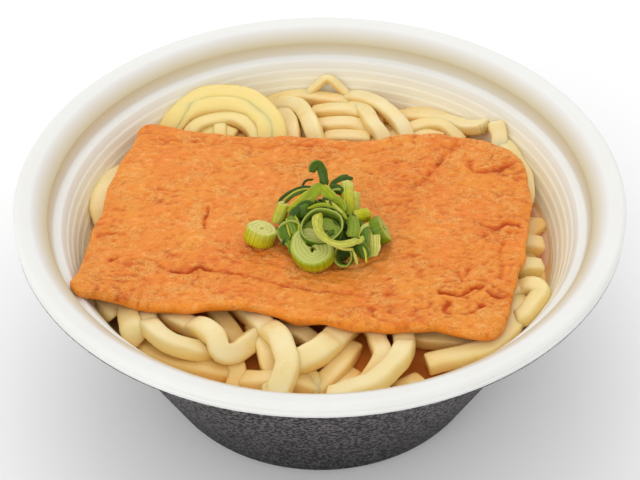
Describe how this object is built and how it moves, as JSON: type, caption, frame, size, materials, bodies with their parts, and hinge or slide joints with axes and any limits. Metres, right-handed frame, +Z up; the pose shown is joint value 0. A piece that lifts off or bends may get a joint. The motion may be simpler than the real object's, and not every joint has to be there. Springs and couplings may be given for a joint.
{
  "type": "udon noodle bowl",
  "caption": "Thick wheat noodles in brown broth in a round foam take-away bowl, under a slab of sweet fried tofu with sliced scallions on top.",
  "frame": {"origin": "middle of the bowl's foot, on the surface that it stands on", "axes": "+Z up; +Y from the eater's side to the far side; +X to the eater's right, along the tofu's long side"},
  "size_m": [0.18, 0.18, 0.0782],
  "materials": {
    "white_foam": "smooth satin foam skin",
    "black_film": "matte black film with a fine grey speckle",
    "broth": "clear brown liquid",
    "noodle": "moist and slightly translucent",
    "fried_tofu": "moist wrinkled skin",
    "scallion_green": "fresh waxy leaf",
    "scallion_pale": "fresh wet cut face"
  },
  "bodies": {
    "root": {"bowl": "white_foam", "broth": "broth", "noodles": "noodle", "fried_tofu": "fried_tofu", "scallion_heap": "scallion_green", "scallion_slice_left": "scallion_pale", "scallion_slice_right": "scallion_green", "scallion_curl": "scallion_green"}
  },
  "joints": []
}
